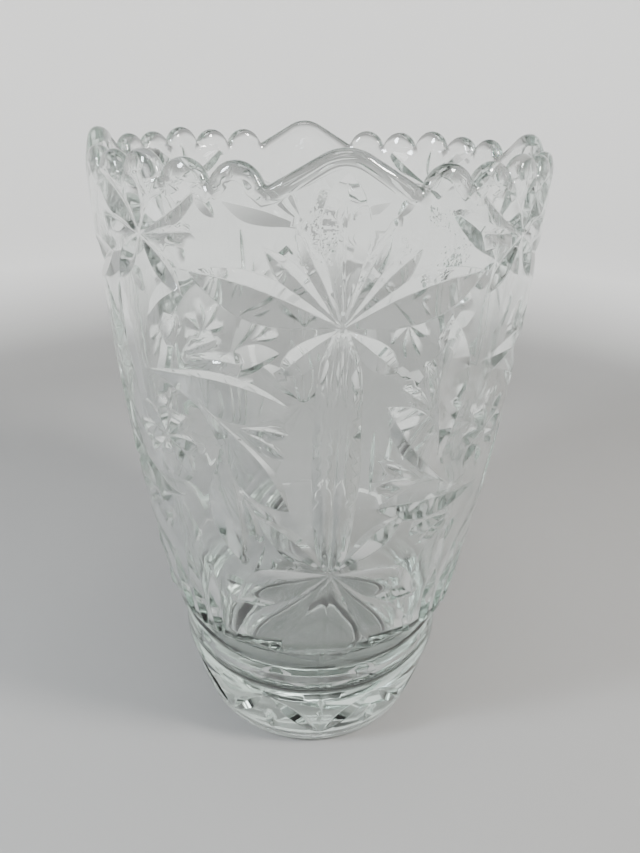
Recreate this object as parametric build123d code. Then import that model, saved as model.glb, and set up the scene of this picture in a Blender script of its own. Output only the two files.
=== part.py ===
from build123d import *
from math import asin, cos, degrees, radians, sin, sqrt
import os

# Pressed-glass flower vase, one piece, in millimetres.
# +Z is up along the vase's axis. The origin is the middle of the underside, at table level.
# Angles go round the vase from the middle of the front panel, which faces -Y; +X is to its right.

# ---- driving dimensions -------------------------------------------------------------------
HEIGHT = 206.0                # underside to the top of the four tall rim peaks
RIM_RADIUS = 65.5             # outside, at the rim
SHOULDER_RADIUS = 62.0        # outside, where the wall bulges most against a straight line
SHOULDER_HEIGHT = 120.0
STEP_TOP = (54.3, 56.4)       # radius, height: lower edge of the thick patterned wall
STEP_FOOT = (50.7, 54.6)      # radius, height: inner end of the ledge under that edge
WAIST = (49.4, 40.0)          # radius, height
BAND_TOP = (49.6, 30.0)       # radius, height: top of the cut band above the foot
FOOT_TOP = (44.5, 7.5)        # radius, height: top of the plain foot ring
FOOT_RADIUS = 42.6
FOOT_BEVEL = 2.0

RIM_WALL = 6.0                # glass thickness at the rim
SHOULDER_WALL = 6.2
STEP_WALL = 7.4
FLOOR_THICKNESS = 22.0
INSIDE_CORNER = 14.0          # radius between the floor and the inside wall
INSIDE_FOOT_RADIUS = 41.0     # inside wall, carried down to the floor
UNDERSIDE_RECESS = 1.2        # depth of the hollow under the foot
RECESS_RADIUS = 31.0

# ---- rim ----------------------------------------------------------------------------------
PANELS = 4                    # front, right, back and left panels, with a corner between each
NOTCH_HEIGHT = 198.0          # bottom of the notches between the scallops
PEAK_HALF_ANGLE = 15.6        # each tall peak's half width, notch to notch
SMALL_SCALLOPS = 5            # between two tall peaks
SMALL_TOP = 203.0
CORNER_TOP = 204.0            # the middle one of the five stands a little higher
NOTCH_FLAT = 0.5
CROWN_WIDTH = 0.3             # rounded top of a tall peak, as a share of its half width
CROWN_FOOT = 0.84             # height where that rounding starts, as a share of the peak's rise

# ---- cut pattern --------------------------------------------------------------------------
TIP_GAP = 1.2                 # glass left standing where the cuts of one star meet
CUTTER_CLEARANCE = 3.0        # how far each cutter stands out of the wall
CUTTER_OVERRUN = 2.0          # how far each cutter runs past the tips of its cut
FLATTEST_CUTTER = 3000.0      # largest radius that a cutter's edge is bent to
WIDEST_SWEEP = 0.9            # sine of the largest half turn that a cutter makes

FLOWER_HEIGHT = 168.2         # panel flower's centre, on the panel's middle
STAR_HEIGHT = 93.0            # large star's centre, on the panel's middle
STEM_FOOT = 101.0             # lower end of the stem that joins the two
BLOSSOM_HEIGHT = 185.5        # small flower's centre, on the corner
PINWHEEL_HEIGHT = 131.5       # small star's centre, on the corner
PINWHEEL_RAYS = 8
PINWHEEL_RAY = 12.0
CORNER = 360 / PANELS / 2     # degrees from a panel's middle to its corner


def outer_radius(height):
    """Outside radius of the uncut patterned wall at a height."""
    r0, z0 = STEP_TOP
    r1, z1 = SHOULDER_RADIUS, SHOULDER_HEIGHT
    r2, z2 = RIM_RADIUS, HEIGHT
    if height < FOOT_TOP[1]:
        return FOOT_RADIUS
    if height < BAND_TOP[1]:
        share = (height - FOOT_TOP[1]) / (BAND_TOP[1] - FOOT_TOP[1])
        return FOOT_TOP[0] + share * (BAND_TOP[0] - FOOT_TOP[0])
    if height < z0:
        share = (height - BAND_TOP[1]) / (z0 - BAND_TOP[1])
        return BAND_TOP[0] + share * (r0 - BAND_TOP[0])
    centre_r, centre_z, radius = wall_circle((r0, z0), (r1, z1), (r2, z2))
    return centre_r + sqrt(radius ** 2 - (height - centre_z) ** 2)


def wall_circle(a, b, c):
    """Centre and radius of the circle through three (radius, height) points."""
    d = 2 * (a[0] * (b[1] - c[1]) + b[0] * (c[1] - a[1]) + c[0] * (a[1] - b[1]))
    squares = [p[0] ** 2 + p[1] ** 2 for p in (a, b, c)]
    x = (squares[0] * (b[1] - c[1]) + squares[1] * (c[1] - a[1]) + squares[2] * (a[1] - b[1])) / d
    y = (squares[0] * (c[0] - b[0]) + squares[1] * (a[0] - c[0]) + squares[2] * (b[0] - a[0])) / d
    return x, y, sqrt((a[0] - x) ** 2 + (a[1] - y) ** 2)


def wall_point(angle, height):
    """Point on the uncut outside, at an angle round the vase and a height."""
    r = outer_radius(height)
    return Vector(r * sin(radians(angle)), -r * cos(radians(angle)), height)


def wall_normal(angle, height):
    """Outward direction of the uncut outside."""
    slope = (outer_radius(height + 1) - outer_radius(height - 1)) / 2
    flat = Vector(sin(radians(angle)), -cos(radians(angle)), -slope)
    return flat.normalized()


# ---- body ---------------------------------------------------------------------------------
def glass_body():
    """Outside turned about the axis, less the space for the flowers."""
    outside = [
        Polyline((0, UNDERSIDE_RECESS), (RECESS_RADIUS, UNDERSIDE_RECESS), (RECESS_RADIUS + 1.5, 0),
                 (FOOT_RADIUS - FOOT_BEVEL, 0), (FOOT_RADIUS, FOOT_BEVEL), FOOT_TOP, BAND_TOP),
        ThreePointArc(BAND_TOP, WAIST, STEP_FOOT),
        Line(STEP_FOOT, STEP_TOP),
        ThreePointArc(STEP_TOP, (SHOULDER_RADIUS, SHOULDER_HEIGHT), (RIM_RADIUS, HEIGHT)),
        Polyline((RIM_RADIUS, HEIGHT), (0, HEIGHT), (0, UNDERSIDE_RECESS)),
    ]
    step_inside = STEP_TOP[0] - STEP_WALL
    shoulder_inside = SHOULDER_RADIUS - SHOULDER_WALL
    rim_inside = RIM_RADIUS - RIM_WALL
    floor_edge = (INSIDE_FOOT_RADIUS - INSIDE_CORNER, FLOOR_THICKNESS)
    corner_top = (INSIDE_FOOT_RADIUS, FLOOR_THICKNESS + INSIDE_CORNER)
    inset = INSIDE_CORNER * (1 - sin(radians(45)))
    inside = [
        Polyline((0, HEIGHT + 1), (0, FLOOR_THICKNESS), floor_edge),
        ThreePointArc(floor_edge, (INSIDE_FOOT_RADIUS - inset, FLOOR_THICKNESS + inset), corner_top),
        Line(corner_top, (step_inside, STEP_TOP[1])),
        ThreePointArc((step_inside, STEP_TOP[1]), (shoulder_inside, SHOULDER_HEIGHT), (rim_inside, HEIGHT)),
        Polyline((rim_inside, HEIGHT), (rim_inside, HEIGHT + 1), (0, HEIGHT + 1)),
    ]
    return turned(outside) - turned(inside)


def turned(edges):
    """Solid made by turning a closed (radius, height) outline about the vase's axis."""
    outline = make_face(Curve() + edges)
    return revolve(Plane.XZ * outline, Axis.Z)


# ---- scalloped rim ------------------------------------------------------------------------
def above_scallop(angle, half_angle, top):
    """Everything above one scallop of the rim, as a block across the wall."""
    reach = RIM_RADIUS * sin(radians(half_angle))
    if half_angle == PEAK_HALF_ANGLE:
        shoulder = (reach * CROWN_WIDTH, NOTCH_HEIGHT + (top - NOTCH_HEIGHT) * CROWN_FOOT)
        crown = [
            Line((-reach, NOTCH_HEIGHT), (-shoulder[0], shoulder[1])),
            ThreePointArc((-shoulder[0], shoulder[1]), (0, top), shoulder),
            Line(shoulder, (reach, NOTCH_HEIGHT)),
        ]
    else:
        crown = [ThreePointArc((-reach, NOTCH_HEIGHT), (0, top), (reach, NOTCH_HEIGHT))]
    side, sky = reach + NOTCH_FLAT, HEIGHT + CUTTER_CLEARANCE
    surround = Polyline((reach, NOTCH_HEIGHT), (side, NOTCH_HEIGHT), (side, sky),
                        (-side, sky), (-side, NOTCH_HEIGHT), (-reach, NOTCH_HEIGHT))
    block = extrude(Plane.XZ * make_face(Curve() + crown + surround), amount=RIM_RADIUS + CUTTER_CLEARANCE)
    middle = Cylinder(RIM_RADIUS - RIM_WALL - 2 * CUTTER_CLEARANCE, 3 * HEIGHT)
    return Rot(0, 0, angle) * (block - middle)


def rim_cutters():
    small_half = (CORNER - PEAK_HALF_ANGLE) / SMALL_SCALLOPS
    cutters = []
    for panel in range(PANELS):
        middle = 360 / PANELS * panel
        cutters.append(above_scallop(middle, PEAK_HALF_ANGLE, HEIGHT))
        for i in range(SMALL_SCALLOPS):
            step = i - (SMALL_SCALLOPS - 1) / 2
            top = CORNER_TOP if step == 0 else SMALL_TOP
            cutters.append(above_scallop(middle + CORNER + 2 * small_half * step, small_half, top))
    return cutters


# ---- mitre cuts ---------------------------------------------------------------------------
def cut(start, end, left, right, depth):
    """Pointed V cut that follows the wall from one (angle, height) tip to the other.

    left and right are the widths of its two facets, seen from outside looking from start to end.
    """
    middle_angle = (start[0] + end[0]) / 2
    middle_height = (start[1] + end[1]) / 2
    normal = wall_normal(middle_angle, middle_height)
    chord = wall_point(*end) - wall_point(*start)
    along = (chord - normal * chord.dot(normal)).normalized()
    length = chord.length
    level = 1 - along.Z ** 2
    wall_curvature = level / outer_radius(middle_height)
    bend = 8 * depth / length ** 2 - wall_curvature
    if abs(bend) < 1 / FLATTEST_CUTTER:
        bend = 1 / FLATTEST_CUTTER
    spread = (depth + CUTTER_CLEARANCE) / depth
    blade_face = make_face(Polyline((0, -depth), (-right * spread, CUTTER_CLEARANCE),
                                    (left * spread, CUTTER_CLEARANCE), (0, -depth)))
    across = Plane(origin=(0, 0, 0), x_dir=(0, 1, 0), z_dir=(1, 0, 0))
    hub = Axis((0, 0, 1 / bend - depth), (0, 1, 0))
    sweep = 2 * degrees(asin(min(WIDEST_SWEEP, (length / 2 + CUTTER_OVERRUN) * abs(bend))))
    blade = revolve(across * blade_face, hub, revolution_arc=sweep).rotate(hub, -sweep / 2)
    seat = Plane(origin=wall_point(middle_angle, middle_height), x_dir=along, z_dir=normal)
    return seat * blade


def ray(centre, angle_up, first, last, left, right, depth):
    """Cut that points away from a star's centre; angle_up is measured from level, anticlockwise."""
    degree = radians(1) * outer_radius(centre[1])
    level, rise = cos(radians(angle_up)) / degree, sin(radians(angle_up))
    tips = [(centre[0] + reach * level, centre[1] + reach * rise) for reach in (first, last)]
    return cut(*tips, left, right, depth)


def pair(centre, angle_up, first, last, upper, lower, depth):
    """A ray to the right of the centre and its mirror image to the left."""
    return [ray(centre, angle_up, first, last, upper, lower, depth),
            ray(centre, 180 - angle_up, first, last, lower, upper, depth)]


def panel_flower():
    """Flower high on each panel: two long side petals, five short ones, two low ones and a stem."""
    centre = (0, FLOWER_HEIGHT)
    cuts = pair(centre, 17, TIP_GAP, 38, 5.4, 5.6, 2.8)
    cuts += pair(centre, 45, 2 * TIP_GAP, 25, 2.7, 2.7, 1.9)
    cuts += pair(centre, 65, 4 * TIP_GAP, 25, 2.2, 2.2, 1.6)
    cuts += pair(centre, -40, TIP_GAP, 18, 3.3, 3.3, 2.0)
    cuts.append(ray(centre, 90, 4 * TIP_GAP, 31, 4.8, 4.8, 1.8))
    cuts.append(cut((0, FLOWER_HEIGHT - 2 * TIP_GAP), (0, STEM_FOOT), 6.0, 6.0, 2.2))
    return cuts


def panel_star():
    """Large star low on each panel, with the stem as its upper ray."""
    centre = (0, STAR_HEIGHT)
    cuts = pair(centre, -28, 2 * TIP_GAP, 32, 5.8, 5.8, 1.8)
    cuts += pair(centre, -55, 2 * TIP_GAP, 45, 5.6, 5.6, 1.9)
    cuts.append(ray(centre, -90, 2 * TIP_GAP, 37, 8.4, 8.4, 2.1))
    cuts += pair(centre, 45, 4 * TIP_GAP, 27, 3.9, 3.9, 2.0)
    return cuts


def corner_blossom():
    """Small flower high on each corner."""
    centre = (CORNER, BLOSSOM_HEIGHT)
    cuts = pair(centre, 33, TIP_GAP, 21.5, 4.2, 3.6, 2.2)
    cuts += pair(centre, 8, 2 * TIP_GAP, 17, 1.8, 1.8, 1.3)
    cuts += pair(centre, -46, TIP_GAP, 17, 2.7, 2.7, 1.7)
    cuts.append(ray(centre, 90, 2 * TIP_GAP, 13, 1.9, 1.9, 1.3))
    return cuts


def corner_pinwheel():
    """Small star at each corner's middle, with leaves that turn about it in two equal halves."""
    centre = (CORNER, PINWHEEL_HEIGHT)
    cuts = [ray(centre, 360 / PINWHEEL_RAYS * i, TIP_GAP, PINWHEEL_RAY, 2.2, 2.2, 1.5)
            for i in range(PINWHEEL_RAYS)]
    # tips as (degrees, millimetres) from the star's centre, then the two facets' widths and the depth
    leaves = [
        ((-3, 19.5), (34.3, 16.8), 3.9, 7.4, 3.0),
        ((8, 18.5), (34.0, -14.8), 3.7, 6.4, 2.8),
        ((17.5, 5.5), (20.0, -37.0), 2.6, 6.0, 2.6),
        ((22.5, 8.7), (34.5, 7.8), 1.9, 1.9, 1.3),
        ((22.5, 8.4), (33.5, 1.2), 1.8, 1.8, 1.3),
        ((22.5, -13.0), (31.0, -20.5), 1.8, 1.8, 1.3),
        ((22.2, -13.4), (25.0, -26.0), 1.6, 1.6, 1.2),
        ((10.0, 25.5), (23.5, 26.2), 2.2, 2.2, 1.5),
        ((10.0, 27.0), (18.5, 32.0), 1.4, 1.4, 1.1),
        ((5.0, 29.0), (8.0, 36.0), 1.3, 1.3, 1.0),
    ]
    for half in (1, -1):
        for start, end, left, right, depth in leaves:
            tips = [(CORNER + half * angle, PINWHEEL_HEIGHT + half * rise) for angle, rise in (start, end)]
            cuts.append(cut(*tips, left, right, depth))
    return cuts


def corner_fan():
    """Three upright petals low on each corner, spreading towards the top."""
    cuts = []
    for lean, top in ((0, 91.0), (-9, 85.0), (9, 85.0)):
        cuts.append(cut((CORNER + 0.7 * lean, 59.0), (CORNER + lean, top), 3.1, 3.1, 2.0))
    return cuts


def foot_band():
    """Zigzag of leaning cuts above the foot ring, with a short upright cut between each pair."""
    cuts = []
    for middle in (0, CORNER):
        for lean in (1, -1):
            cuts.append(cut((middle + 2.5 * lean, 9.5), (middle + 19.5 * lean, 28.0), 2.8, 2.8, 1.8))
        cuts.append(cut((middle + CORNER / 2, 9.5), (middle + CORNER / 2, 19.0), 1.6, 1.6, 1.0))
    return cuts


def cut_pattern():
    """All cuts of one panel and the corner to its right."""
    return (panel_flower() + panel_star() + corner_blossom() + corner_pinwheel() + corner_fan()
            + foot_band())


# ---- make and save ------------------------------------------------------------------------
vase = glass_body()
for cutter in rim_cutters():
    vase = vase - cutter
pattern = cut_pattern()
for panel in range(PANELS):
    for blade in pattern:
        vase = vase - Rot(0, 0, 360 / PANELS * panel) * blade

os.makedirs("parts", exist_ok=True)
export_step(vase, "parts/vase_glass.step")
print("volume", round(vase.volume / 1000, 1), "cm3")
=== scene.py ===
from math import atan2, ceil, cos, hypot, pi, radians, sin, sqrt

import bpy
import numpy as np
from mathutils import Matrix, Vector
from mathutils.geometry import delaunay_2d_cdt


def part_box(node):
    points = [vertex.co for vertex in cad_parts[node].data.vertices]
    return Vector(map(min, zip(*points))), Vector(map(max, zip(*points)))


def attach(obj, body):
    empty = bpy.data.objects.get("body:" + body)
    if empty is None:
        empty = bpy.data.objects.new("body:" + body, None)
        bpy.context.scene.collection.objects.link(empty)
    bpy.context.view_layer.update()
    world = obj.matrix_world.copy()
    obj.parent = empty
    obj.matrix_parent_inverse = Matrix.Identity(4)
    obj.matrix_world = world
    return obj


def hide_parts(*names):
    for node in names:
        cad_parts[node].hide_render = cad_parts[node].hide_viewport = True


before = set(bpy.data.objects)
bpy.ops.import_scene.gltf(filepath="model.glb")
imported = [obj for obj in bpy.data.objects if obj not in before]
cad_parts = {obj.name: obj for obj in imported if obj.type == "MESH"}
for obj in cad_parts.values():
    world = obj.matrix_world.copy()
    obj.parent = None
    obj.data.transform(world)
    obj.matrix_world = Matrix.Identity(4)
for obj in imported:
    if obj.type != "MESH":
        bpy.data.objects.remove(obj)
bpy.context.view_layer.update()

# A pressed-glass vase. Sizes are in millimetres until the mesh is made. Angles are in degrees
# round the vase from the middle of its front panel, which faces -Y, towards +X.
MM = 0.001
PANELS = 4
SECTOR = 360 / PANELS
CORNER = SECTOR / 2           # from a panel's middle to its corner

# ---- outline of the glass: (radius, height) -------------------------------------------------
SEAM_ROOM = 0.15              # the wall is this far inside the CAD wall, which leaves room for the seams
RIM_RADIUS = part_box("vase_glass")[1].x / MM - SEAM_ROOM
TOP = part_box("vase_glass")[1].z / MM
SHOULDER = (61.9, 120.0)
STEP_TOP = (54.2, 56.4)
STEP_FOOT = (50.6, 54.6)
WAIST = (49.3, 40.0)
BAND_TOP = (49.5, 30.0)
FOOT_TOP = (44.4, 7.5)
FOOT_SIDE = (42.6, 2.2)
FOOT_BEVEL = 2.0
RIM_WALL, SHOULDER_WALL, STEP_WALL = 6.0, 6.2, 7.4
FLOOR_HEIGHT = 22.0
INSIDE_CORNER = 14.0
INSIDE_FOOT_RADIUS = 41.0
RECESS_RADIUS, RECESS_DEPTH, RECESS_SLOPE = 31.0, 1.2, 1.6
UNDERSIDE_ROUNDINGS = (0.8, 0.6, 0.9)        # at the recess, the inner and the outer edge of the foot

# ---- rim ------------------------------------------------------------------------------------
NOTCH_HEIGHT = 198.0
PEAK_HALF_ANGLE = 15.6
SMALL_SCALLOPS = 5
SMALL_TOP, CORNER_TOP = 203.0, 204.0
CROWN_WIDTH = 0.3             # rounded top of a tall peak, as a share of its half width
CROWN_FOOT = 0.84             # height where that rounding starts, as a share of the peak's rise
RIM_MM_PER_DEGREE = radians(RIM_RADIUS)
HALF_SECTOR = CORNER * RIM_MM_PER_DEGREE                     # half a sector's width at the rim
# How full the wall is at each distance below the rim's edge: a round top, a narrow bevel, then the wall.
RIM_SECTION = [(0.0, 0.0), (0.1, 0.24), (0.3, 0.42), (0.65, 0.60), (1.1, 0.72), (1.7, 0.81), (2.1, 0.85),
               (2.9, 0.93), (3.6, 0.985), (3.9, 1.0), (4.3, 1.0)]
RIM_DEPTH = RIM_SECTION[-1][0]

# ---- heights of the pattern's centres ---------------------------------------------------------
FLOWER_HEIGHT = 168.2         # on the panel's middle, as the star is
STAR_HEIGHT = 93.0
BLOSSOM_HEIGHT = 185.5        # on the corner, as the pinwheel is
PINWHEEL_HEIGHT = 131.5
PINWHEEL_RAYS = 8

# ---- mesh -----------------------------------------------------------------------------------
LINE_STEP = 1.5               # spacing of points along a cut's lines
LINE_MARGIN = 0.4             # lines stop this far from the edges of the patterned outside
FIELD_STEP = 2.6              # spacing of points on plain glass
INSIDE_STEP = 4.0             # the same on the smooth inside
NEIGHBOUR_REACH = 3.0         # how far past a sector's sides its mesh still follows a cut's lines
FIELD_GAP = 0.38              # least gap from a line to a point on plain glass, as a share of the spacing
EDGE = 0.25                   # half width of every softened edge
EDGE_DROP = 0.12              # how deep the softening of a cut's outline reaches
WIDE_CUT = 2.4                # only a cut at least this wide on a side has its edges softened by extra lines
VALLEY_RISE = 0.18            # how far the softening fills the bottom of a cut
CUT_BLEND = 0.12              # the same where two cuts or two hollows meet
LEDGE_CATCH = 1.5             # slope at which the wall's cuts run out over the ledge below it
SEAM_HALF_WIDTH, SEAM_HEIGHT = 0.45, 0.2
SEAM_STEP = 2.0               # spacing of points along a seam, down the middle of each panel
SEAM_TOP_GAP, SEAM_TOP_FADE, SEAM_FOOT_FADE = 8, 4, 2        # where a seam ends below the rim, and fades
FOOT_LINE_DEPTH, FOOT_LINE_HALF_WIDTH = 0.35, 0.7
PROFILE_RISES = (-0.6, -0.4, -0.2, 0.0, 0.2, 0.4, 0.6)       # the wall's outline is averaged over these
PROFILE_SHARES = (0.05, 0.12, 0.2, 0.26, 0.2, 0.12, 0.05)
SLICES = 144                  # of the plain turned surfaces
NORMAL_STEP = 0.03            # half the distance over which the outside's direction is measured
WALL_MM_PER_DEGREE = 1.1      # round the wall, roughly halfway up
SATIN_DEPTH = 0.6             # a cut this deep is fully satin
JOIN_CELL, JOIN_SHIFT = 0.004, 0.00137       # points in one cell are joined; round numbers lie inside cells


def circle_through(a, b, c):
    """Centre and radius of the circle through three (radius, height) points."""
    d = 2 * (a[0] * (b[1] - c[1]) + b[0] * (c[1] - a[1]) + c[0] * (a[1] - b[1]))
    aa, bb, cc = (p[0] ** 2 + p[1] ** 2 for p in (a, b, c))
    x = (aa * (b[1] - c[1]) + bb * (c[1] - a[1]) + cc * (a[1] - b[1])) / d
    y = (aa * (c[0] - b[0]) + bb * (a[0] - c[0]) + cc * (b[0] - a[0])) / d
    return x, y, hypot(a[0] - x, a[1] - y)


def arc_radius(a, b, c):
    """Function that gives the radius at a height on the arc through three points, bulging outwards."""
    x, y, r = circle_through(a, b, c)
    side = 1 if b[0] > x else -1
    return lambda z: x + side * np.sqrt(np.maximum(r * r - (z - y) ** 2, 0))


outer_wall = arc_radius(STEP_TOP, SHOULDER, (RIM_RADIUS, TOP))
outer_waist = arc_radius(BAND_TOP, WAIST, STEP_FOOT)
inner_wall = arc_radius((STEP_TOP[0] - STEP_WALL, STEP_TOP[1]), (SHOULDER[0] - SHOULDER_WALL, SHOULDER[1]),
                        (RIM_RADIUS - RIM_WALL, TOP))


def straight(z, low, high):
    share = (z - low[1]) / (high[1] - low[1])
    return low[0] + share * (high[0] - low[0])


def sharp_outside(z):
    """Radius of the uncut outside at each height, from the foot's side to the rim."""
    z = np.asarray(z, float)
    radius = np.select(
        [z < FOOT_TOP[1], z < BAND_TOP[1], z < STEP_FOOT[1], z < STEP_TOP[1]],
        [straight(z, FOOT_SIDE, FOOT_TOP), straight(z, FOOT_TOP, BAND_TOP), outer_waist(z),
         straight(z, STEP_FOOT, STEP_TOP)], outer_wall(z))
    foot_line = np.maximum(0, 1 - np.abs(z - FOOT_TOP[1]) / FOOT_LINE_HALF_WIDTH)
    return radius - FOOT_LINE_DEPTH * foot_line


def outside(z):
    """Outside radius of the uncut wall, its edges softened by averaging over a short height."""
    return sum(share * sharp_outside(z + rise) for rise, share in zip(PROFILE_RISES, PROFILE_SHARES))


def inside(z):
    """Radius of the inside at each height above the rounded corner of the floor."""
    z = np.asarray(z, float)
    corner_top = (INSIDE_FOOT_RADIUS, FLOOR_HEIGHT + INSIDE_CORNER)
    low = straight(z, corner_top, (STEP_TOP[0] - STEP_WALL, STEP_TOP[1]))
    return np.where(z < STEP_TOP[1], low, inner_wall(z))


def soft_min(a, b, k):
    h = np.clip(0.5 + 0.5 * (b - a) / k, 0, 1)
    return b * (1 - h) + a * h - k * h * (1 - h)


def soft_ramp(x, k):
    """max(x, 0) with its corner rounded over -k to k."""
    return np.where(x > k, x, np.where(x < -k, 0.0, (x + k) ** 2 / (4 * k)))


# ---- cuts -----------------------------------------------------------------------------------
class Cut:
    """One cut in the outside, from one (angle, height) tip to the other.

    left and right are the widths of its two sides, seen from outside looking from start to end.
    section is "vee", "scoop" or "flute". skew moves its widest place towards the end, blunt rounds
    its tips, and bend pushes its middle to the left.
    """

    ROWS = {"vee": (0,), "scoop": (0, 0.4, 0.75), "flute": (0, 0.5)}
    FLUTE_RIDGE = 0.55        # depth at a flute's middle, as a share of its full depth
    FLUTE_VALLEY = 0.5        # where it is deepest, as a share of its half width

    def __init__(self, start, end, left, right, depth, section="vee", skew=1.0, blunt=0.0, bend=0.0):
        self.middle = ((start[0] + end[0]) / 2, (start[1] + end[1]) / 2)
        self.scale = radians(float(outside(self.middle[1])))
        dx, dz = (end[0] - start[0]) * self.scale, end[1] - start[1]
        self.length = hypot(dx, dz)
        self.way = (dx / self.length, dz / self.length)
        self.left, self.right, self.depth = left, right, depth
        self.section, self.skew, self.power, self.bend = section, skew, 1 - blunt, bend

    def turned(self, angle):
        """The same cut further round the vase."""
        copy = Cut.__new__(Cut)
        copy.__dict__.update(self.__dict__)
        copy.middle = (self.middle[0] + angle, self.middle[1])
        return copy

    def swell(self, t):
        """Width at a share of the length, from 0 at both tips to 1."""
        return np.sin(pi * np.clip(t, 0, 1) ** self.skew) ** self.power

    def raw_depth(self, angle, z):
        """Depth below the wall, negative outside the cut."""
        dx = (angle - self.middle[0]) * self.scale
        dz = z - self.middle[1]
        along = dx * self.way[0] + dz * self.way[1] + self.length / 2
        t = np.clip(along / self.length, 0, 1)
        across = dz * self.way[0] - dx * self.way[1] - 4 * self.bend * t * (1 - t)
        beyond = np.maximum(np.maximum(-along, along - self.length), 0)
        swell = self.swell(t)
        side = np.where(across > 0, self.left, self.right)
        if self.section == "vee":
            to_left = self.depth * (swell - across / self.left)
            to_right = self.depth * (swell + across / self.right)
            depth = soft_min(to_left, to_right, VALLEY_RISE)
        else:
            share = np.abs(across) / (side * np.maximum(swell, 1e-3))
            if self.section == "scoop":
                depth = self.depth * swell * (1 - share ** 2)
            else:
                rise, valley = self.FLUTE_RIDGE, self.FLUTE_VALLEY
                inner = rise + (1 - rise) * share / valley
                outer = (1 - share) / (1 - valley)
                depth = self.depth * swell * soft_min(inner, outer, CUT_BLEND)
        steep = 2 * self.depth / min(self.left, self.right)
        return np.maximum(depth - steep * beyond, -1)

    def place(self, t, across):
        """(angle, height) of a point at a share of the length and a distance to the left."""
        across = across + 4 * self.bend * t * (1 - t)
        along = (t - 0.5) * self.length
        dx = along * self.way[0] - across * self.way[1]
        dz = along * self.way[1] + across * self.way[0]
        return self.middle[0] + dx / self.scale, self.middle[1] + dz

    def lines(self):
        """The lines that the mesh follows, as lists of (angle, height)."""
        steps = max(8, ceil(self.length / LINE_STEP))
        t = (1 - np.cos(np.linspace(0, pi, steps + 1))) / 2 * 0.5 + np.linspace(0, 1, steps + 1) * 0.5
        swell = self.swell(t)
        found = []
        for side, width in ((1, self.left), (-1, self.right)):
            found.append((t, side * width * swell, t >= 0))
            if width > WIDE_CUT:
                found.append((t, side * (width * swell + EDGE), t >= 0))
                found.append((t, side * (width * swell - EDGE), width * swell > 3 * EDGE))
            for row in self.ROWS[self.section]:
                if row:
                    found.append((t, side * row * width * swell, width * swell > 2 * EDGE))
            if self.section != "scoop":
                found.append((t, side * EDGE * np.ones_like(t), width * swell > 3 * EDGE))
        found.append((t, 0 * t, t >= 0))
        for share, across, keep in found:
            angle, z = self.place(share[keep], across[keep])
            if len(angle) > 1:
                yield list(zip(angle, z))


def ray(centre, up, first, last, left, right, depth, **shape):
    """Cut that points away from a star's centre; up is measured from level, anticlockwise."""
    scale = radians(float(outside(centre[1])))
    tips = [(centre[0] + reach * cos(radians(up)) / scale, centre[1] + reach * sin(radians(up)))
            for reach in (first, last)]
    return Cut(*tips, left, right, depth, **shape)


def mirrored_rays(centre, up, first, last, upper, lower, depth, **shape):
    """A ray to the right of the centre and its mirror image to the left."""
    bend = shape.pop("bend", 0)
    return [ray(centre, up, first, last, upper, lower, depth, bend=bend, **shape),
            ray(centre, 180 - up, first, last, lower, upper, depth, bend=-bend, **shape)]


def panel_flower():
    """Two long side petals, five short upper ones, two low ones, and a fluted stem."""
    centre = (0, FLOWER_HEIGHT)
    cuts = mirrored_rays(centre, 16.5, 0.6, 38, 4.6, 6.8, 3.0, skew=1.15, blunt=0.15, bend=1.5)
    cuts += mirrored_rays(centre, 45, 1.0, 25, 2.8, 2.8, 2.0, skew=1.4)
    cuts += mirrored_rays(centre, 65, 1.5, 25, 2.3, 2.3, 1.7, skew=1.3)
    cuts += mirrored_rays(centre, -40, 0.6, 18.3, 3.4, 3.2, 2.1, skew=1.5, blunt=0.4)
    cuts.append(ray(centre, 90, 2, 33, 5.3, 5.3, 1.9, skew=1.6, blunt=0.35))
    cuts.append(Cut((0, 167), (0, 94), 6.2, 6.2, 2.9, section="flute", blunt=0.75))
    return cuts


def panel_star():
    """Hollow petals that spread down from the stem's foot, the lower ones over the ledge, and two leaves."""
    centre = (0, STAR_HEIGHT)
    cuts = mirrored_rays(centre, -28, 0.6, 33, 7.6, 7.0, 1.7, section="scoop", skew=1.15, bend=1.5)
    cuts += mirrored_rays(centre, -54, 0.6, 60, 7.5, 7.5, 1.9, section="scoop", skew=1.2)
    cuts.append(ray(centre, -90, 0.6, 70, 15.0, 15.0, 2.2, section="scoop", skew=1.1))
    cuts += mirrored_rays(centre, 44, 1.0, 28, 4.2, 3.8, 2.2, skew=1.3, blunt=0.1)
    return cuts


def corner_blossom():
    """A small flower high on the corner."""
    centre = (CORNER, BLOSSOM_HEIGHT)
    cuts = mirrored_rays(centre, 33, 0.5, 22.5, 4.6, 3.6, 2.4, skew=1.15, blunt=0.25)
    cuts += mirrored_rays(centre, 8, 1.0, 17, 1.8, 1.8, 1.3, skew=1.3)
    cuts += mirrored_rays(centre, -46, 0.5, 17, 2.8, 2.8, 1.8, skew=1.2, blunt=0.15)
    cuts.append(ray(centre, 90, 1.5, 13, 2.0, 2.0, 1.4))
    return cuts


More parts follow.
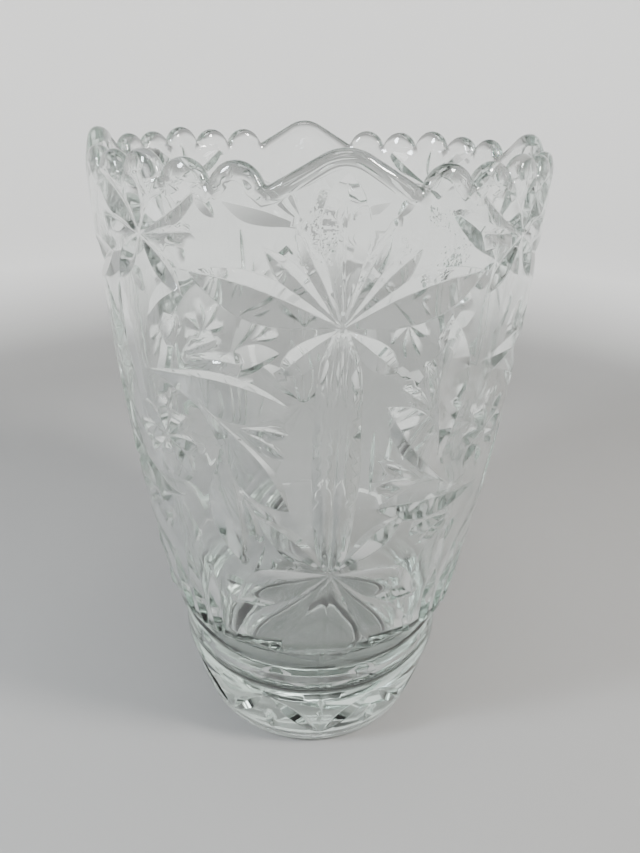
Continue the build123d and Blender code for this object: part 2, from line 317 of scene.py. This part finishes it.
def corner_pinwheel():
    """A small star with leaves that turn about it in two equal halves."""
    centre = (CORNER, PINWHEEL_HEIGHT)
    cuts = [ray(centre, 360 / PINWHEEL_RAYS * i, 0.6, 12, 2.2, 2.2, 1.6, skew=1.2)
            for i in range(PINWHEEL_RAYS)]
    # both tips as (degrees, millimetres) from the centre, the two widths and the depth
    leaves = [
        ((-3, 19.0), (34.3, 15.8), 3.9, 9.0, 3.3, dict(skew=1.5, blunt=0.15, bend=2.2)),
        ((8, 18.0), (34.0, -15.8), 3.8, 7.8, 3.2, dict(skew=1.9, blunt=0.1, bend=1.8)),
        ((17.5, 5.5), (20.0, -37.0), 2.4, 7.6, 3.0, dict(skew=1.4, blunt=0.1)),
        ((22.5, 8.7), (34.5, 7.8), 1.9, 1.9, 1.4, dict(skew=1.2)),
        ((22.5, 8.4), (33.5, 1.2), 1.8, 1.8, 1.3, dict(skew=1.2)),
        ((22.5, -13.0), (31.0, -20.5), 1.8, 1.8, 1.3, dict(skew=1.2)),
        ((22.2, -13.4), (25.0, -26.0), 1.6, 1.6, 1.2, dict(skew=1.2)),
        ((10.0, 25.5), (23.5, 26.2), 2.3, 2.3, 1.6, dict()),
        ((10.0, 27.0), (18.5, 32.0), 1.4, 1.4, 1.1, dict()),
        ((5.0, 29.0), (8.0, 36.0), 1.3, 1.3, 1.0, dict()),
    ]
    for half in (1, -1):
        for start, end, left, right, depth, shape in leaves:
            tips = [(centre[0] + half * a, centre[1] + half * z) for a, z in (start, end)]
            cuts.append(Cut(*tips, left, right, depth, **shape))
    return cuts


def corner_fan():
    """Three upright petals low on the corner, which spread towards the top."""
    cuts = []
    for lean, top in ((0, 92.0), (-9, 86.0), (9, 86.0)):
        cuts.append(Cut((CORNER + 0.75 * lean, 53.0), (CORNER + lean, top), 3.2, 3.2, 2.2, blunt=0.15))
    return cuts


def foot_band():
    """Zigzag of leaning cuts above the foot, with a short upright cut between each pair."""
    cuts = []
    for middle in (0, CORNER):
        for lean in (1, -1):
            cuts.append(Cut((middle + 1.2 * lean, 9.0), (middle + 20.5 * lean, 29.0), 3.0, 3.0, 2.0))
        cuts.append(Cut((middle + CORNER / 2, 9.0), (middle + CORNER / 2, 19.0), 1.6, 1.6, 1.2))
    return cuts


def every_cut():
    """The cuts of one sector, and those of its neighbours that may reach into it."""
    sector = (panel_flower() + panel_star() + corner_blossom() + corner_pinwheel() + corner_fan()
              + foot_band())
    return [cut.turned(turn) for cut in sector for turn in (-2 * SECTOR, -SECTOR, 0, SECTOR)]


CUTS = every_cut()


def relief(angle, z):
    """How far the outside lies below the uncut wall, in one sector."""
    total = np.full(np.shape(angle), -1.0)
    for cut in CUTS:
        reach = cut.length / 2 + max(cut.left, cut.right) + 1
        near = (np.abs(angle - cut.middle[0]) * cut.scale < reach) & (np.abs(z - cut.middle[1]) < reach)
        if near.any():
            depth = cut.raw_depth(angle[near], z[near])
            if cut.middle[1] > BAND_TOP[1]:
                depth = np.minimum(depth, LEDGE_CATCH * (z[near] - STEP_FOOT[1]))
            total[near] = -soft_min(-total[near], -depth, CUT_BLEND)
    from_seam = np.abs((angle + CORNER) % SECTOR - CORNER) * RIM_MM_PER_DEGREE
    seam = np.maximum(0, 1 - from_seam / SEAM_HALF_WIDTH)
    fade = np.clip((TOP - SEAM_TOP_GAP - z) / SEAM_TOP_FADE, 0, 1)
    fade = fade * np.clip((z - FOOT_TOP[1]) / SEAM_FOOT_FADE, 0, 1)
    return soft_ramp(total, EDGE_DROP) - SEAM_HEIGHT * seam * fade


def around_axis(radius, angle, z):
    return np.stack([radius * np.sin(np.radians(angle)), -radius * np.cos(np.radians(angle)), z], -1)


def outer_point(angle, z, full=1.0):
    """Points of the patterned outside; full is how much of the wall's half thickness is there."""
    middle = (outside(z) + inside(np.maximum(z, FLOOR_HEIGHT + INSIDE_CORNER))) / 2
    return around_axis(middle + (outside(z) - middle) * full - relief(angle, z), angle, z)


def outer_normal(angle, z):
    """Outward directions of the patterned outside."""
    turn = NORMAL_STEP / WALL_MM_PER_DEGREE
    round_it = outer_point(angle + turn, z) - outer_point(angle - turn, z)
    up_it = outer_point(angle, z + NORMAL_STEP) - outer_point(angle, z - NORMAL_STEP)
    normal = np.cross(round_it, up_it)
    return normal / np.linalg.norm(normal, axis=1, keepdims=True)


# ---- rim edge -------------------------------------------------------------------------------
def rim_edge():
    """One sector's scalloped edge, as (millimetres round, height) points, and directions into the glass."""
    small = (CORNER - PEAK_HALF_ANGLE) / SMALL_SCALLOPS * RIM_MM_PER_DEGREE
    peak = PEAK_HALF_ANGLE * RIM_MM_PER_DEGREE
    pieces = []
    for middle, reach, top in scallops(small, peak):
        if reach == peak:
            shoulder = (CROWN_WIDTH * reach, NOTCH_HEIGHT + CROWN_FOOT * (top - NOTCH_HEIGHT))
            flank = np.linspace((-reach, NOTCH_HEIGHT), (-shoulder[0], shoulder[1]), 25)[:-1]
            left = [tuple(point) for point in flank]
            right = [(-a, b) for a, b in reversed(left)]
            outline = left + dome(shoulder, top, 21) + right
        else:
            outline = dome((reach, NOTCH_HEIGHT), top, 41)
        pieces += [(middle + a, b) for a, b in outline[:-1]]
    return softened(np.array(pieces))


def dome(foot, top, count):
    """Points of the arc from a foot's mirror image over the top to the foot."""
    _, y, r = circle_through((-foot[0], foot[1]), (0, top), foot)
    sweep = atan2(foot[0], foot[1] - y)
    return [(r * sin(a), y + r * cos(a)) for a in np.linspace(-sweep, sweep, count)]


def scallops(small, peak):
    """(middle, half width, top) of every scallop from one corner past the next, left to right."""
    found = []
    for i in range(SMALL_SCALLOPS):
        step = i - (SMALL_SCALLOPS - 1) // 2
        found.append((2 * small * step - HALF_SECTOR, small, CORNER_TOP if step == 0 else SMALL_TOP))
    found.append((0, peak, TOP))
    found += [(middle + 2 * HALF_SECTOR, reach, top) for middle, reach, top in found[:SMALL_SCALLOPS]]
    return found


def softened(points, spacing=0.25, spread=0.55, kept_every=3):
    """An even, slightly rounded copy of an outline, kept between the two corners."""
    lengths = np.concatenate([[0], np.cumsum(np.hypot(*np.diff(points, axis=0).T))])
    start, end = (np.interp(edge, points[:, 0], lengths) for edge in (-HALF_SECTOR, HALF_SECTOR))
    count = kept_every * round((end - start) / spacing / kept_every)
    step = (end - start) / count
    reach = ceil(4 * spread / step)
    at = start + step * np.arange(-reach - 1, count + reach + 2)
    even = np.stack([np.interp(at, lengths, points[:, i]) for i in (0, 1)], -1)
    weight = np.exp(-0.5 * (step * np.arange(-reach, reach + 1) / spread) ** 2)
    weight /= weight.sum()
    smooth = np.stack([np.convolve(even[:, i], weight, "valid") for i in (0, 1)], -1)
    way = smooth[2:] - smooth[:-2]
    way /= np.linalg.norm(way, axis=1, keepdims=True)
    into = np.stack([way[:, 1], -way[:, 0]], -1)
    smooth = smooth[1:-1]
    smooth[0, 0], smooth[-1, 0] = -HALF_SECTOR, HALF_SECTOR
    into[0], into[-1] = (0, -1), (0, -1)
    return smooth[::kept_every], into[::kept_every]


def below_edge(edge, into, distance):
    """The rim's edge, moved into the glass, with both ends kept on the sector's sides."""
    moved = edge + into * distance
    moved[0, 0], moved[-1, 0] = -HALF_SECTOR, HALF_SECTOR
    return moved


# ---- surfaces -------------------------------------------------------------------------------
class Surface:
    """Collects points, their directions, how deeply each is cut, and faces."""

    def __init__(self):
        self.points, self.normals, self.depths, self.faces, self.count = [], [], [], [], 0

    def add(self, points, normals, faces, depths=None):
        self.points.append(points)
        self.normals.append(normals)
        self.depths.append(np.zeros(len(points)) if depths is None else depths)
        self.faces.append(np.asarray(faces, int) + self.count)
        self.count += len(points)

    def whole(self):
        return tuple(np.concatenate(part) for part in (self.points, self.normals, self.depths, self.faces))


def grid_faces(rows, columns, flip=False):
    """Two triangles for each cell of a grid of points."""
    r, c = np.meshgrid(np.arange(rows - 1), np.arange(columns - 1), indexing="ij")
    a = (r * columns + c).ravel()
    b, d, e = a + 1, a + columns, a + columns + 1
    faces = np.concatenate([np.stack([a, b, e], -1), np.stack([a, e, d], -1)])
    return faces[:, ::-1] if flip else faces


def inside_outline(points, outline):
    """Which points lie inside a closed outline."""
    x, y = points[:, 0], points[:, 1]
    found = np.zeros(len(points), bool)
    for (x0, y0), (x1, y1) in zip(outline, np.roll(outline, -1, axis=0)):
        if y0 != y1:
            crosses = (y > min(y0, y1)) & (y <= max(y0, y1))
            found ^= crosses & (x < x0 + (y - y0) * (x1 - x0) / (y1 - y0))
    return found


def sector_outline(bottom_z, top, step):
    """The closed outline of one unrolled sector, between a level bottom and the line of its top."""
    bottom = [(x, bottom_z) for x in np.linspace(-HALF_SECTOR, HALF_SECTOR, SLICES // PANELS + 1)]
    side_z = np.arange(bottom_z, top[0, 1], step)[1:-1]
    return np.array(bottom + [(HALF_SECTOR, z) for z in side_z] + [tuple(p) for p in top[::-1]]
                    + [(-HALF_SECTOR, z) for z in side_z[::-1]])


def triangulated(outline, lines, field_step):
    """Triangles that fill an outline and follow lines in it. Everything is (x, height)."""
    points = [tuple(p) for p in outline]
    edges = [(i, (i + 1) % len(points)) for i in range(len(points))]
    taken = list(outline)
    for line in lines:
        first = len(points)
        points += line
        taken += line
        edges += [(first + i, first + i + 1) for i in range(len(line) - 1)]
    taken = np.array(taken)
    low, high = outline.min(0), outline.max(0)
    rows = np.arange(low[1] + field_step / 2, high[1], field_step * sqrt(3) / 2)
    field = [(x, z) for i, z in enumerate(rows)
             for x in np.arange(low[0] + field_step * (0.5 + i % 2 / 2), high[0], field_step)]
    field = np.array(field)
    field = field[inside_outline(field, outline)]
    keep = np.ones(len(field), bool)
    batch = 400
    for i in range(0, len(field), batch):
        gap = np.linalg.norm(field[i:i + batch, None] - taken[None], axis=2).min(1)
        keep[i:i + batch] = gap > field_step * FIELD_GAP
    points += [tuple(p) for p in field[keep]]
    flat = [Vector(p) for p in points]
    least_gap = 1e-4
    verts, _, faces, *_ = delaunay_2d_cdt(flat, edges, [], 0, least_gap)
    verts = np.array([tuple(v) for v in verts])
    faces = np.array([f for f in faces if len(f) == 3])
    faces = faces[inside_outline(verts[faces].mean(1), outline)]
    return verts, faces


def clipped(line, bottom_z, top):
    """The stretches of a line that lie well inside a sector's bottom and top."""
    stretches, current = [], []
    for x, z in line:
        if bottom_z + LINE_MARGIN < z < np.interp(x, top[:, 0], top[:, 1]) - LINE_MARGIN:
            current.append((x, z))
        elif current:
            stretches.append(current)
            current = []
    stretches.append(current)
    return [s for s in stretches if len(s) > 1]


def patterned_outside(surface, edge, into):
    """The outside of one sector, from the foot's side up to where the rim rounds over."""
    top, bottom_z = below_edge(edge, into, RIM_DEPTH), FOOT_SIDE[1]
    reach = HALF_SECTOR + NEIGHBOUR_REACH
    lines = []
    for cut in CUTS:
        for line in cut.lines():
            scaled = [(angle * RIM_MM_PER_DEGREE, z) for angle, z in line]
            if max(x for x, _ in scaled) > -reach and min(x for x, _ in scaled) < reach:
                lines += clipped(scaled, bottom_z, top)
    foot_lines = [FOOT_TOP[1] + rise for rise in (-FOOT_LINE_HALF_WIDTH, 0, FOOT_LINE_HALF_WIDTH)]
    ledge_lines = [z + rise for _, z in (STEP_FOOT, STEP_TOP) for rise in PROFILE_RISES[::2]]
    xs = np.linspace(-HALF_SECTOR, HALF_SECTOR, 2 * SLICES // PANELS + 1)
    for z in foot_lines + [BAND_TOP[1]] + ledge_lines:
        lines.append([(x, z) for x in xs])
    for x in (-SEAM_HALF_WIDTH, 0, SEAM_HALF_WIDTH):
        lines += clipped([(x, z) for z in np.arange(bottom_z + 1, TOP, SEAM_STEP)], bottom_z, top)
    verts, faces = triangulated(sector_outline(bottom_z, top, FIELD_STEP), lines, FIELD_STEP)
    angle, z = verts[:, 0] / RIM_MM_PER_DEGREE, verts[:, 1]
    surface.add(outer_point(angle, z), outer_normal(angle, z), faces, relief(angle, z))


def rounded_rim(surface, edge, into):
    """The rim of one sector: rows of points over the edge, from the outside to the inside."""
    rows = []
    sides = [(outer_point, row) for row in reversed(RIM_SECTION)]
    sides += [(inner_point, row) for row in RIM_SECTION[1:]]
    for point, (distance, full) in sides:
        at = below_edge(edge, into, distance)
        rows.append(point(at[:, 0] / RIM_MM_PER_DEGREE, at[:, 1], full))
    grid = np.array(rows)
    normals = grid_normals(grid)
    deepest = below_edge(edge, into, RIM_DEPTH)
    angle, z = deepest[:, 0] / RIM_MM_PER_DEGREE, deepest[:, 1]
    normals[0], normals[-1] = outer_normal(angle, z), inner_normal(angle, z)
    surface.add(grid.reshape(-1, 3), normals.reshape(-1, 3), grid_faces(*grid.shape[:2]))


def grid_normals(grid):
    """Directions of a grid of points, from its neighbours."""
    down, across = np.gradient(grid, axis=0), np.gradient(grid, axis=1)
    normals = np.cross(across, down)
    for side in (0, -1):
        # both edges of a sector lie in a mirror plane, so their directions have no part across it
        angle = np.arctan2(grid[:, side, 0], -grid[:, side, 1])
        across_it = np.stack([np.cos(angle), np.sin(angle), 0 * angle], -1)
        normals[:, side] -= across_it * np.sum(normals[:, side] * across_it, -1, keepdims=True)
    return normals / np.maximum(np.linalg.norm(normals, axis=-1, keepdims=True), 1e-9)


def inner_point(angle, z, full=1.0):
    """Points of the inside; full is how much of the wall's half thickness is there."""
    middle = (outside(z) + inside(z)) / 2
    return around_axis(middle + (inside(z) - middle) * full, angle, z)


def inner_normal(angle, z):
    """Directions of the inside, towards the axis."""
    rise = 0.1
    slope = (inside(z + rise) - inside(z - rise)) / (2 * rise)
    normal = around_axis(-1, angle, slope)
    return normal / np.linalg.norm(normal, axis=1, keepdims=True)


def smooth_inside(surface, edge, into):
    """The inside wall of one sector, from the rim down to the floor's rounded corner."""
    outline = sector_outline(FLOOR_HEIGHT + INSIDE_CORNER, below_edge(edge, into, RIM_DEPTH), INSIDE_STEP)
    bend = [(x, STEP_TOP[1]) for x in np.linspace(-HALF_SECTOR, HALF_SECTOR, SLICES // PANELS + 1)]
    verts, faces = triangulated(outline, [bend], INSIDE_STEP)
    angle, z = verts[:, 0] / RIM_MM_PER_DEGREE, verts[:, 1]
    surface.add(inner_point(angle, z), inner_normal(angle, z), faces[:, ::-1])


def turned_surface(surface, profile, up):
    """A plain surface turned from (radius, height) points; up is -1 where it faces up, or else 1."""
    profile = np.array(profile, float)
    way = np.gradient(profile, axis=0)
    way /= np.linalg.norm(way, axis=1, keepdims=True)
    lean = np.stack([way[:, 1], -way[:, 0]], -1) * up
    angle = np.arange(SLICES + 1) * 360 / SLICES - CORNER
    level = np.ones_like(angle)
    grid, normals = (around_axis(np.outer(part[:, 0], level), angle, np.outer(part[:, 1], level))
                     for part in (profile, lean))
    surface.add(grid.reshape(-1, 3), normals.reshape(-1, 3), grid_faces(len(profile), SLICES + 1, up < 0))


def rounded_corner(a, corner, b, run, steps=5):
    """Points of a curve that rounds a corner, from run before it to run after it."""
    a, corner, b = (np.array(p, float) for p in (a, corner, b))
    to_a = (a - corner) / np.linalg.norm(a - corner)
    to_b = (b - corner) / np.linalg.norm(b - corner)
    return [tuple(corner + run * ((1 - t) ** 2 * to_a + t ** 2 * to_b))
            for t in np.linspace(0, 1, steps + 1)]


def underside_profile():
    """From the middle of the hollow under the foot, over the ring that it stands on, to the foot's side."""
    corners = [(0, RECESS_DEPTH), (RECESS_RADIUS, RECESS_DEPTH), (RECESS_RADIUS + RECESS_SLOPE, 0),
               (FOOT_SIDE[0] - FOOT_BEVEL, 0), FOOT_SIDE]
    points = [corners[0], (RECESS_RADIUS / 2, RECESS_DEPTH)]
    for i, run in enumerate(UNDERSIDE_ROUNDINGS, 1):
        points += rounded_corner(corners[i - 1], corners[i], corners[i + 1], run)
    return points + [FOOT_SIDE]


def floor_profile():
    """From the middle of the inside's floor to the top of its rounded corner."""
    centre = (INSIDE_FOOT_RADIUS - INSIDE_CORNER, FLOOR_HEIGHT + INSIDE_CORNER)
    turn = np.linspace(0, pi / 2, 13)
    arc = [(centre[0] + INSIDE_CORNER * sin(a), centre[1] - INSIDE_CORNER * cos(a)) for a in turn]
    return [(0, FLOOR_HEIGHT), (centre[0] / 2, FLOOR_HEIGHT)] + arc


def make_vase():
    """Points, directions, depths and faces of the whole vase."""
    sector = Surface()
    edge, into = rim_edge()
    patterned_outside(sector, edge, into)
    rounded_rim(sector, edge, into)
    smooth_inside(sector, edge, into)
    points, normals, depths, faces = sector.whole()
    whole = Surface()
    quarter_turn = np.array([(0, 1, 0), (-1, 0, 0), (0, 0, 1)])
    for _ in range(PANELS):
        whole.add(points, normals, faces, depths)
        points, normals = points @ quarter_turn, normals @ quarter_turn
    turned_surface(whole, underside_profile(), 1)
    turned_surface(whole, floor_profile(), -1)
    return joined(whole)


def joined(surface):
    """One closed mesh: points in the same small cell become one, and faces that close up go."""
    points, normals, depths, faces = surface.whole()
    order = {}
    first = np.empty(len(points), int)
    cells = np.round((points + JOIN_SHIFT) / JOIN_CELL).astype(int)
    for i, cell in enumerate(map(tuple, cells)):
        first[i] = order.setdefault(cell, i)
    kept, index = np.unique(first, return_inverse=True)
    total = np.zeros((len(kept), 3))
    np.add.at(total, index, normals)
    total /= np.maximum(np.linalg.norm(total, axis=1, keepdims=True), 1e-9)
    faces = index[faces]
    real = (faces[:, 0] != faces[:, 1]) & (faces[:, 1] != faces[:, 2]) & (faces[:, 2] != faces[:, 0])
    return points[kept], total, depths[kept], faces[real]


# ---- glass ----------------------------------------------------------------------------------
IOR = 1.5
PALE_TINT, CLEAR_TINT = (0.955, 0.968, 0.962, 1), (0.982, 0.988, 0.985, 1)
BODY_TINT, BODY_DENSITY = (0.78, 0.90, 0.84, 1), 10.0        # what the glass absorbs over a metre
POLISHED_ROUGHNESS, SATIN_ROUGHNESS = (0.0, 0.06), (0.04, 0.10)
WAVE_HEIGHT, WAVE_STRENGTH = 0.0008, 0.16                    # metres
CHILL_RISE, CHILL_FALL = (0.176, 0.184), (0.190, 0.197)      # heights where the chill marks begin and end
CHILL_HEIGHT, CHILL_STRENGTH = 0.0003, 0.4


def clear_glass():
    """Slightly grey-green pressed glass: uneven polish, satin in the cuts and chill marks near the rim."""
    material = bpy.data.materials.new("clear_glass")
    material.use_nodes = True
    nodes, links = material.node_tree.nodes, material.node_tree.links
    nodes.clear()
    place = nodes.new("ShaderNodeTexCoord").outputs["Object"]

    def node(kind, **values):
        made = nodes.new(kind)
        for name, value in values.items():
            made.inputs[name].default_value = value
        return made

    def noise(scale, detail, roughness=0.5):
        made = node("ShaderNodeTexNoise", Scale=scale, Detail=detail, Roughness=roughness)
        links.new(place, made.inputs["Vector"])
        return made.outputs["Fac"]

    def ranged(value, source, target):
        made = node("ShaderNodeMapRange", **{"From Min": source[0], "From Max": source[1],
                                             "To Min": target[0], "To Max": target[1]})
        links.new(value, made.inputs["Value"])
        return made.outputs["Result"]

    def product(a, b):
        made = nodes.new("ShaderNodeMath")
        made.operation = "MULTIPLY"
        links.new(a, made.inputs[0])
        links.new(b, made.inputs[1])
        return made.outputs["Value"]

    glass = node("ShaderNodeBsdfPrincipled", **{"IOR": IOR, "Transmission Weight": 1.0})
    tint = nodes.new("ShaderNodeValToRGB")
    for stop, position, colour in zip(tint.color_ramp.elements, (0.3, 0.7), (PALE_TINT, CLEAR_TINT)):
        stop.position, stop.color = position, colour
    links.new(noise(18.0, 2.0), tint.inputs["Fac"])
    links.new(tint.outputs["Color"], glass.inputs["Base Color"])

    smear = noise(55.0, 4.0, 0.6)
    cut = nodes.new("ShaderNodeAttribute")
    cut.attribute_name = "cut"
    rough = nodes.new("ShaderNodeMix")
    links.new(cut.outputs["Fac"], rough.inputs["Factor"])
    links.new(ranged(smear, (0.35, 0.75), POLISHED_ROUGHNESS), rough.inputs["A"])
    links.new(ranged(smear, (0.3, 0.7), SATIN_ROUGHNESS), rough.inputs["B"])
    links.new(rough.outputs["Result"], glass.inputs["Roughness"])

    waves = node("ShaderNodeBump", Strength=WAVE_STRENGTH, Distance=WAVE_HEIGHT)
    links.new(noise(70.0, 1.5, 0.4), waves.inputs["Height"])
    split = nodes.new("ShaderNodeSeparateXYZ")
    links.new(place, split.inputs["Vector"])
    height = split.outputs["Z"]
    band = product(ranged(height, CHILL_RISE, (0.0, 1.0)), ranged(height, CHILL_FALL, (1.0, 0.0)))
    patches = ranged(noise(62.0, 1.0), (0.57, 0.65), (0.0, CHILL_STRENGTH))
    chill = node("ShaderNodeBump", Distance=CHILL_HEIGHT)
    links.new(product(band, patches), chill.inputs["Strength"])
    links.new(noise(1100.0, 0.5), chill.inputs["Height"])
    links.new(waves.outputs["Normal"], chill.inputs["Normal"])
    links.new(chill.outputs["Normal"], glass.inputs["Normal"])

    out = nodes.new("ShaderNodeOutputMaterial")
    links.new(glass.outputs["BSDF"], out.inputs["Surface"])
    body = node("ShaderNodeVolumeAbsorption", Color=BODY_TINT, Density=BODY_DENSITY)
    links.new(body.outputs["Volume"], out.inputs["Volume"])
    return material


def add_vase():
    points, normals, depths, faces = make_vase()
    mesh = bpy.data.meshes.new("vase_glass_visual")
    mesh.from_pydata((points * MM).tolist(), [], faces.tolist())
    mesh.update()
    mesh.shade_smooth()
    mesh.normals_split_custom_set_from_vertices(normals.tolist())
    cut = mesh.attributes.new("cut", "FLOAT", "POINT")
    cut.data.foreach_set("value", np.clip(depths / SATIN_DEPTH, 0, 1))
    mesh.materials.append(clear_glass())
    vase = bpy.data.objects.new("vase_glass_visual", mesh)
    bpy.context.scene.collection.objects.link(vase)
    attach(vase, "root")
    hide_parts("vase_glass")


# ---- stage, light and camera, in metres -----------------------------------------------------
FLOOR_RADIUS, COVE_BEND, COVE_TOP = 0.36, 0.10, 0.70
STAGE_SLICES = 96
# Greys of the stage by height: pale floor, lighter wall, and painted shade that darkens the wall towards a
# dim top, which keeps the glass's edges dark.
STAGE_GREYS_AND_PAINTED_SHADE = [(0.0, 0.27), (0.01, 0.27), (0.07, 0.78), (0.30, 0.78), (0.48, 0.30), (0.65, 0.06)]
STAGE_WARMTH = (1, 0.99, 0.97)
ROOM_GREY = 0.03
CAMERA_DISTANCE, CAMERA_HEIGHT = 0.2076, 0.2164
PANEL_TURN = radians(5.23)    # the camera stands this far round from the front panel's middle
PAN, TILT, ROLL = 0.00942, radians(27.07), radians(-1.38)
LENS, SENSOR, NEAREST = 27.85, 36, 0.01


def pale_stage_painted_shade():
    """A matt pale material, graded by height; the darkening towards the wall's top is painted shade."""
    material = bpy.data.materials.new("pale_stage_painted_shade")
    material.use_nodes = True
    nodes, links = material.node_tree.nodes, material.node_tree.links
    shader = nodes["Principled BSDF"]
    shader.inputs["Roughness"].default_value = 0.8
    split = nodes.new("ShaderNodeSeparateXYZ")
    links.new(nodes.new("ShaderNodeTexCoord").outputs["Object"], split.inputs["Vector"])
    ramp = nodes.new("ShaderNodeValToRGB")
    while len(ramp.color_ramp.elements) < len(STAGE_GREYS_AND_PAINTED_SHADE):
        ramp.color_ramp.elements.new(0.5)
    # the upper stops darken the wall towards its top: painted shade
    for stop, (height, grey) in zip(ramp.color_ramp.elements, STAGE_GREYS_AND_PAINTED_SHADE):
        stop.position, stop.color = height, (*(grey * part for part in STAGE_WARMTH), 1)
    links.new(split.outputs["Z"], ramp.inputs["Fac"])
    links.new(ramp.outputs["Color"], shader.inputs["Base Color"])
    return material


def add_stage():
    """A round pale floor that curves up into a wall, outside every camera that looks at the vase."""
    bend = np.linspace(0, pi / 2, 11)
    profile = [(FLOOR_RADIUS / 2, 0.0)]
    profile += [(FLOOR_RADIUS + COVE_BEND * sin(a), COVE_BEND * (1 - cos(a))) for a in bend]
    profile.append((FLOOR_RADIUS + COVE_BEND, COVE_TOP))
    around = STAGE_SLICES
    turns = [2 * pi * i / around for i in range(around)]
    points = [(0, 0, 0)] + [(r * cos(turn), r * sin(turn), z) for r, z in profile for turn in turns]
    faces = [(0, 1 + i, 1 + (i + 1) % around) for i in range(around)]
    for ring in range(len(profile) - 1):
        for i in range(around):
            a, b = 1 + ring * around + i, 1 + ring * around + (i + 1) % around
            faces.append((a, a + around, b + around, b))
    mesh = bpy.data.meshes.new("floor")
    mesh.from_pydata(points, [], faces)
    mesh.shade_smooth()
    mesh.materials.append(pale_stage_painted_shade())
    floor = bpy.data.objects.new("floor", mesh)
    bpy.context.scene.collection.objects.link(floor)


def add_light(name, place, size, power, color=(1, 1, 1), aim=(0, 0, 0.1)):
    """A rectangular lamp that faces a point, by default the middle of the vase."""
    data = bpy.data.lights.new(name, "AREA")
    data.shape, data.size, data.size_y = "RECTANGLE", *size
    data.energy, data.color = power, color
    light = bpy.data.objects.new(name, data)
    light.location = place
    light.rotation_euler = (Vector(aim) - Vector(place)).to_track_quat("-Z", "Y").to_euler()
    bpy.context.scene.collection.objects.link(light)


def add_lights():
    add_light("key", (0.34, -0.22, 0.52), (0.08, 0.13), 4.6, (1.0, 0.98, 0.95))
    add_light("window", (-0.34, -0.16, 0.42), (0.06, 0.16), 3.0, (0.86, 0.93, 1.0))
    add_light("wall_wash", (0.0, -0.1, 0.85), (0.3, 0.3), 2.2, aim=(0, 0.45, 0.1))
    world = bpy.data.worlds.new("room")
    world.use_nodes = True
    background = world.node_tree.nodes["Background"]
    background.inputs["Color"].default_value = (ROOM_GREY, ROOM_GREY, ROOM_GREY, 1)
    bpy.context.scene.world = world


def add_camera():
    """The camera looks down at the vase from in front, a little to the left of the front panel's middle."""
    forward = Vector((sin(PAN) * cos(TILT), cos(PAN) * cos(TILT), -sin(TILT)))
    level = Vector((cos(PAN), -sin(PAN), 0))
    up = level.cross(forward)
    right = level * cos(ROLL) - up * sin(ROLL)
    up = level * sin(ROLL) + up * cos(ROLL)
    axes = Matrix((right, up, -forward)).transposed()
    turn = Matrix.Rotation(-PANEL_TURN, 4, "Z")
    data = bpy.data.cameras.new("camera")
    data.lens, data.sensor_width, data.clip_start = LENS, SENSOR, NEAREST
    camera = bpy.data.objects.new("camera", data)
    stand = Matrix.Translation((0, -CAMERA_DISTANCE, CAMERA_HEIGHT))
    camera.matrix_world = turn @ stand @ axes.to_4x4()
    bpy.context.scene.collection.objects.link(camera)
    bpy.context.scene.camera = camera


def set_bounces():
    """Enough bounces for light to find its way through cut glass."""
    cycles = bpy.context.scene.cycles
    cycles.max_bounces, cycles.glossy_bounces, cycles.transmission_bounces = 24, 12, 24


add_vase()
add_stage()
add_lights()
add_camera()
set_bounces()
